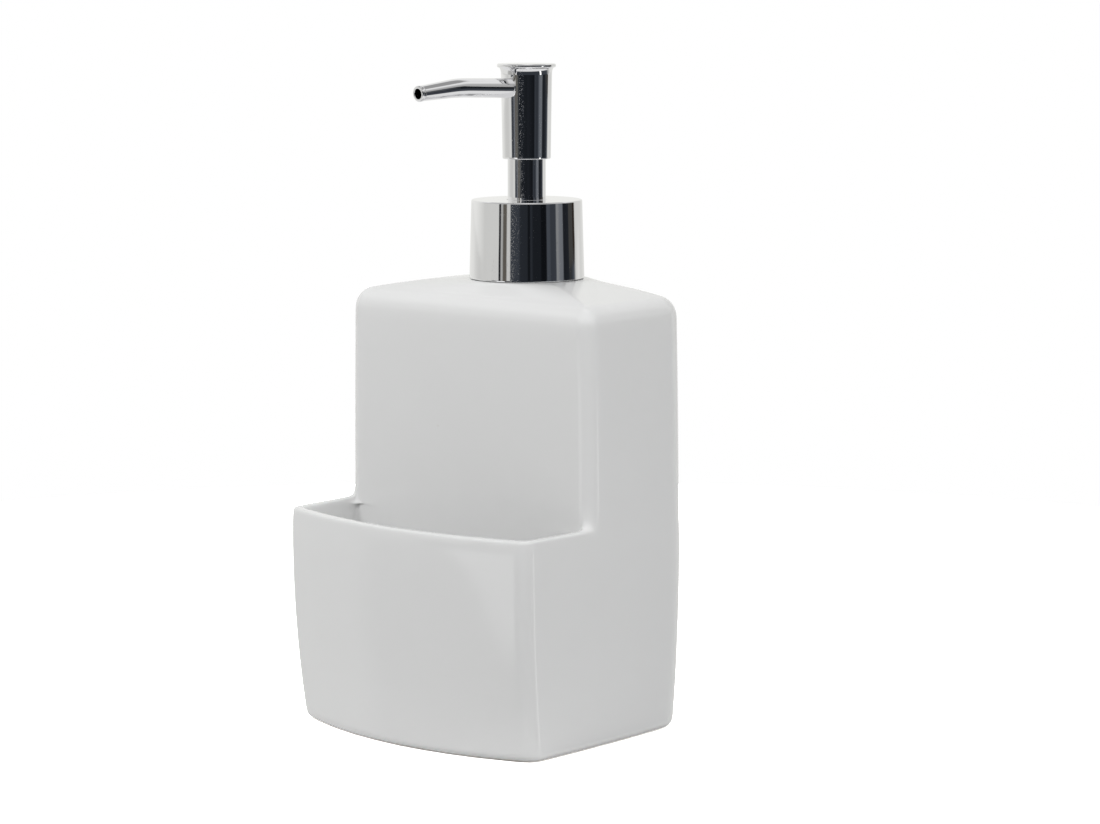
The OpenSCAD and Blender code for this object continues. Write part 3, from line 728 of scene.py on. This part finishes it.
def makeSpoutRing():
    ring = {"outer": 2.32, "round": 0.42, "backRound": 0.3, "inRound": 0.2}
    bore, back = spout["boreR"], -spout["tip"]
    bm = bmesh.new()
    turned(bm, [(bore, back, 0), (ring["outer"], back, ring["backRound"]), (ring["outer"], 0, ring["round"]),
                (bore, 0, ring["inRound"])], spout["sides"])
    bmesh.ops.transform(bm, matrix=station(spout["mouth"], 1.0), verts=bm.verts)
    toHead(bm)
    return place(bm, "spoutRing", "head", "chrome", ["nozzle_tip"])


for build in (makeCollar, makeSleeve, makeBarrel, makeCap, makeSpout, makeSpoutRing):
    build()


# the thread that the neck and the closure share; sunk is how deep its foot stands in the wall
thread = {"pitch": 3.0, "turns": 2.2, "width": 1.5, "count": 64, "fade": 6, "least": 0.1, "sunk": (0.2, 0.15)}


def threadRidge(bm, foot, crest, z):
    width, count, turns = thread["width"], thread["count"], thread["turns"]
    section = ((foot, -width / 2), (crest, -width / 5), (crest, width / 5), (foot, width / 2))
    chain = [bm.verts.new((r, 0, z + h)) for r, h in section]
    edges = [bm.edges.new(pair) for pair in zip(chain, chain[1:] + chain[:1])]
    before = len(bm.verts) - len(chain)
    total = int(count * turns)
    bmesh.ops.spin(bm, geom=chain + edges, cent=(0, 0, 0), axis=(0, 0, 1), dvec=(0, 0, thread["pitch"] / count),
                   angle=deg(360 * turns), steps=total, use_merge=False, use_normal_flip=False,
                   use_duplicate=False)
    bm.verts.ensure_lookup_table()
    # both ends fade into the wall
    rows = [bm.verts[before + 4 * i:before + 4 * i + 4] for i in range(total + 1)]
    for i, row in enumerate(rows):
        fade = min(1.0, i / thread["fade"], (total - i) / thread["fade"])
        for vert in row[1:3]:
            r = math.hypot(vert.co.x, vert.co.y)
            want = foot + (crest - foot) * (thread["least"] + (1 - thread["least"]) * fade)
            vert.co.x *= want / r
            vert.co.y *= want / r
    for row in (rows[0], rows[-1]):
        bmesh.ops.contextual_create(bm, geom=row)
    ridge = {v for row in rows for v in row}
    bmesh.ops.recalc_face_normals(bm, faces=[f for f in bm.faces if any(v in ridge for v in f.verts)])


def makeNeck():
    spec = {"root": 12.75, "crest": 13.5, "bore": 8.9, "top": 146.0, "flange": (14.6, 131.8, 133.3),
            "spigot": (10.9, 124.8), "threadZ": 136.8, "flangeRound": 0.3, "topRound": 0.4, "count": 96}
    fr, f1, f2 = spec["flange"]
    sr, s1 = spec["spigot"]
    root, bore, top = spec["root"], spec["bore"], spec["top"]
    bm = bmesh.new()
    turned(bm, [(bore, s1, 0), (sr, s1, 0), (sr, f1, 0), (fr, f1, 0), (fr, f2, spec["flangeRound"]),
                (root, f2, 0), (root, top, spec["topRound"]), (bore, top, 0)], spec["count"])
    threadRidge(bm, root - thread["sunk"][0], spec["crest"], spec["threadZ"])
    toPump(bm)
    return place(bm, "threadedNeck", "bottle", "white_plastic", ["neck_adapter"])


def makeClosure():
    spec = {"foot": (16.07, 133.9), "top": (15.52, 153.4), "bore": 14.15, "crest": 13.72, "plate": 149.8,
            "hole": 7.5, "threadZ": 136.3, "footRound": 0.5, "count": 96}
    (r1, z1), (r2, z2) = spec["foot"], spec["top"]
    hole, bore, plate = spec["hole"], spec["bore"], spec["plate"]
    bm = bmesh.new()
    turned(bm, [(r1, z1, 0), (r2, z2, 0), (hole, z2, 0), (hole, plate, 0), (bore, plate, 0),
                (bore, z1, spec["footRound"])], spec["count"])
    threadRidge(bm, bore + thread["sunk"][1], spec["crest"], spec["threadZ"])
    toPump(bm)
    return place(bm, "screwCap", "closure", "white_plastic", ["screw_cap"])


def makeSpring():
    spec = {"wire": 0.4, "radius": 4.2, "bottom": 104.4, "top": 122.4, "closed": 1.3, "count": 28, "turns": 7,
            "sides": 10, "stroke": 10.5}
    r, w, length = spec["radius"], spec["wire"], spec["top"] - spec["bottom"]
    bm = bmesh.new()
    section = bmesh.ops.create_circle(bm, cap_ends=False, radius=w, segments=spec["sides"])["verts"]
    bmesh.ops.rotate(bm, cent=(0, 0, 0), matrix=Matrix.Rotation(deg(90), 3, "X"), verts=section)
    bmesh.ops.translate(bm, vec=(r, 0, spec["bottom"] + w), verts=section)
    first = list({e for v in section for e in v.link_edges})
    # one closed turn at each end, open ones between them
    free = (length - 2 * w - 2 * spec["closed"]) / (spec["turns"] - 2)
    geom = section + first
    for turns, pitch in ((1, spec["closed"]), (spec["turns"] - 2, free), (1, spec["closed"])):
        geom = bmesh.ops.spin(bm, geom=geom, cent=(0, 0, 0), axis=(0, 0, 1),
                              dvec=(0, 0, pitch / spec["count"]), angle=deg(360 * turns),
                              steps=spec["count"] * turns, use_merge=False, use_normal_flip=False,
                              use_duplicate=False)["geom_last"]
    bmesh.ops.holes_fill(bm, edges=[e for e in bm.edges if e.is_boundary], sides=0)
    bmesh.ops.recalc_face_normals(bm, faces=bm.faces)
    toPump(bm)
    piece = place(bm, "woundSpring", "pump_body", "steel", ["return_spring"])
    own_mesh(piece)
    return piece


for build in (makeNeck, makeClosure, makeSpring):
    build()


def makeFloor():
    # in metres; seen is its paleness to the camera, met the one that lights the object
    spec = {"radius": 0.46, "sides": 96, "seen": 3.0, "met": 0.42, "near": 0.05, "far": 0.12, "metNear": 0.64}
    bm = bmesh.new()
    bmesh.ops.create_circle(bm, cap_ends=True, radius=spec["radius"], segments=spec["sides"])
    mesh = bpy.data.meshes.new("floor")
    bm.to_mesh(mesh)
    bm.free()
    floor = bpy.data.objects.new("floor", mesh)
    floor.visible_glossy = False
    bpy.context.scene.collection.objects.link(floor)
    mat = bpy.data.materials.new("paleFloor")
    mat.use_nodes = True
    make = Shader(mat.node_tree)
    end = make.tree.nodes.new("ShaderNodeOutputMaterial")
    seen = make.add("LightPath")
    # paler under the object, so that its foot takes light from below
    away = make.add("VectorMath", {"operation": "LENGTH"}, out=1, i0=make.add("TexCoord", out=3))
    met = make.step(away, spec["near"], spec["far"], spec["metNear"], spec["met"])
    matt = make.add("BsdfDiffuse", Color=make.blend(seen, met, rgb(spec["seen"])))
    plug(make.tree, end.inputs["Surface"], matt)
    mesh.materials.append(mat)


# what polished metal and glaze mirror, by the angle to the right of the camera, in degrees:
# low screens are seen in the collar, high ones in the sleeve and the barrel
brownScreen, dimScreen, darkScreen = (0.115, 0.105, 0.09), (0.056, 0.055, 0.052), (0.024, 0.018, 0.013)
lowScreens = [(-180, 0.88), (-130, 0.86), (-114, 0.78), (-103, 0.70), (-97, 0.645), (-60.5, 0.66), (-59, 0.01),
              (-56, 0.01), (-54.5, 0.42), (-51.5, 0.42), (-49.5, brownScreen), (-43, brownScreen),
              (-41.3, 0.60), (-35.5, 0.60), (-33.5, 0.05), (-17, 0.045), (-14, 0.024), (0, 0.022), (2, 0.008),
              (5, 0.008), (7, 0.026), (9, 0.026), (12, 0.013), (27, 0.013), (29, 0.006), (39, 0.006),
              (41, 0.07), (47, 0.065), (49, 0.043), (60, 0.045), (62.5, 0.25), (66, 0.235), (70, 0.18),
              (77, 0.17), (79.5, 0.014), (93, 0.018), (95, dimScreen), (106, dimScreen), (108, darkScreen),
              (113, darkScreen), (115, 0.62), (118, 0.69), (140, 0.70), (160, 0.80), (180, 0.88)]
highScreens = [(-180, 0.86), (-138, 0.80), (-125, 0.70), (-112, 0.63), (-95, 0.63), (-84, 0.72), (-78, 0.72),
               (-74, 0.06), (-65, 0.04), (-62, 0.17), (-58, 0.17), (-55, (0.12, 0.11, 0.10)),
               (-43, (0.12, 0.12, 0.11)), (-39, 0.03), (-33, 0.016), (0, 0.012), (4, 0.016), (34, 0.008),
               (38, 0.04), (44, 0.04), (48, 0.03), (55, 0.05), (60, 0.14), (73, 0.17), (78, 0.03), (82, 0.014),
               (95, 0.022), (103, 0.04), (110, 0.10), (116, 0.66), (127, 0.80), (138, 0.70), (180, 0.86)]
# the same for what lies below the horizon: table and window light
tables = [(-180, 0.80), (-98, 0.80), (-90, 0.45), (-66, 0.40), (-47, 0.35), (-45, 0.04), (62, 0.04), (64, 2.0),
          (69, 2.0), (71, 0.05), (104, 0.06), (115, 0.45), (130, 0.80), (180, 0.80)]


def ringOf(make, aside, stops):
    # colours round the object; a ramp holds few stops, so each half has its own
    halves = []
    for side in (-1, 1):
        marks = sorted((a * side / 180, tint(v)) for a, v in stops if a * side >= 0)
        halves.append(make.add("ValToRGB", {"stops": marks}, Fac=aside * side / 180))
    return make.blend(aside > 0, *halves)


def tint(v, pale=0.3, lessRed=0.15, warmBlue=0.97, moreBlue=0.30):
    # dark things look a little blue, pale ones a little warm
    if isinstance(v, tuple):
        return v
    cool = 1 - min(1.0, v / pale)
    return v * (1 - lessRed * cool), v, v * (warmBlue + moreBlue * cool)


def makeSurroundings():
    # angles in degrees, heights from 0 at the horizon to 1 overhead, each pair a soft change
    spec = {"facing": -47.3, "ambient": 0.20, "window": 1.15, "windowSlant": 1.5, "windowLeft": (-79, -75),
            "windowRight": -46.5, "windowFoot": (20, 17), "table": 0.80, "tableFrom": (22, 28),
            "lowFrom": (3.05, 3.3), "tablesFrom": (5.5, 6.5), "under": 0.45, "underFrom": (55, 70),
            "strip": 0.03, "stripSpan": (118, 140), "stripFrom": (28, 32),
            "wall": 0.44, "wallFrom": (0.12, 0.22), "wallDrop": 0.13, "wallSpan": (85.5, 112),
            "sky": 0.85, "skyFrom": (0.45, 0.68), "zenith": 0.33, "zenithFrom": (0.715, 0.77)}
    world = bpy.data.worlds.new("studio")
    bpy.context.scene.world = world
    world.use_nodes = True
    make = Shader(world.node_tree)
    surface = make.tree.nodes.new("ShaderNodeOutputWorld").inputs["Surface"]
    way = make.add("TexCoord", out=0)
    x, y, z = (make.add("SeparateXYZ", out=i, Vector=way) for i in range(3))
    share = ((y.math("ARCTAN2", x) * (180 / math.pi) - spec["facing"] + 180) / 360).math("FRACT")
    aside = share * 360 - 180
    below = 0 - z.math("ARCSINE") * (180 / math.pi)
    low, high, table = (ringOf(make, aside, stops) for stops in (lowScreens, highScreens, tables))
    # a window whose left edge slants, so that its image on the bowed wall narrows downward
    window = (make.step(aside - below * spec["windowSlant"], *spec["windowLeft"])
              * (aside < spec["windowRight"]) * make.step(below, *spec["windowFoot"]))
    table = make.blend(window, table, rgb(spec["window"]))
    table = make.blend(make.step(below, *spec["tableFrom"]), table, rgb(spec["table"]))
    mirrored = make.blend(make.step(below, *spec["lowFrom"]), low, high)
    mirrored = make.blend(make.step(below, *spec["tablesFrom"]), mirrored, table)
    mirrored = make.blend(make.step(below, *spec["underFrom"]), mirrored, rgb(spec["under"]))
    # a dark strip of table edge, which draws the thin line under the spout
    start, end = spec["stripSpan"]
    strip = (aside > start) * (aside < end) * make.step(below, *spec["stripFrom"])
    mirrored = make.blend(strip, mirrored, rgb(spec["strip"]))
    # the wall behind the camera begins lower down at its right end
    start, end = spec["wallSpan"]
    wall = make.step(z - (aside < start) * spec["wallDrop"], *spec["wallFrom"]) * (aside.math("ABSOLUTE") < end)
    mirrored = make.blend(wall, mirrored, rgb(spec["wall"]))
    mirrored = make.blend(make.step(z, *spec["skyFrom"]), mirrored, rgb(spec["sky"]))
    mirrored = make.blend(make.step(z, *spec["zenithFrom"]), mirrored, rgb(spec["zenith"]))
    glossy, through, seen = (make.add("LightPath", out=i) for i in (3, 6, 0))
    colour = make.blend(glossy, rgb(spec["ambient"]), mirrored)
    colour = make.blend(seen.math("MAXIMUM", through), colour, rgb(1.0))
    plug(make.tree, surface, make.add("Background", Color=colour, Strength=1.0))


# soft lamps: place and size in metres, power in watts; only the top one shows in the chrome
lamps = {"softTop": {"spot": (0.0, 0.05, 0.95), "size": 0.3, "power": 0.3, "mirrored": True},
         "softLeft": {"spot": (-0.28, -0.77, 0.84), "size": 0.55, "power": 7.25, "mirrored": False},
         "softSide": {"spot": (-0.85, -0.45, 0.20), "size": 0.6, "power": 1.4, "mirrored": False},
         "softRight": {"spot": (0.95, -0.08, 0.55), "size": 0.9, "power": 7.3, "mirrored": False},
         "softBack": {"spot": (-0.55, 1.0, 0.45), "size": 0.9, "power": 5.5, "mirrored": False}}
lampAim = Vector((0, 0, 0.06))


def makeLamp(name, spot, size, power, mirrored):
    data = bpy.data.lights.new(name, "AREA")
    data.shape, data.size, data.energy = "SQUARE", size, power
    lamp = bpy.data.objects.new(name, data)
    lamp.visible_glossy = mirrored
    lamp.location = spot
    lamp.rotation_mode = "QUATERNION"
    lamp.rotation_quaternion = (lampAim - Vector(spot)).to_track_quat("-Z", "Y")
    bpy.context.scene.collection.objects.link(lamp)
    return lamp


makeFloor()
makeSurroundings()
for lampName, lamp in lamps.items():
    makeLamp(lampName, **lamp)
bpy.context.scene.view_settings.view_transform = "Standard"
print("stage set:", len(lamps), "lamps")
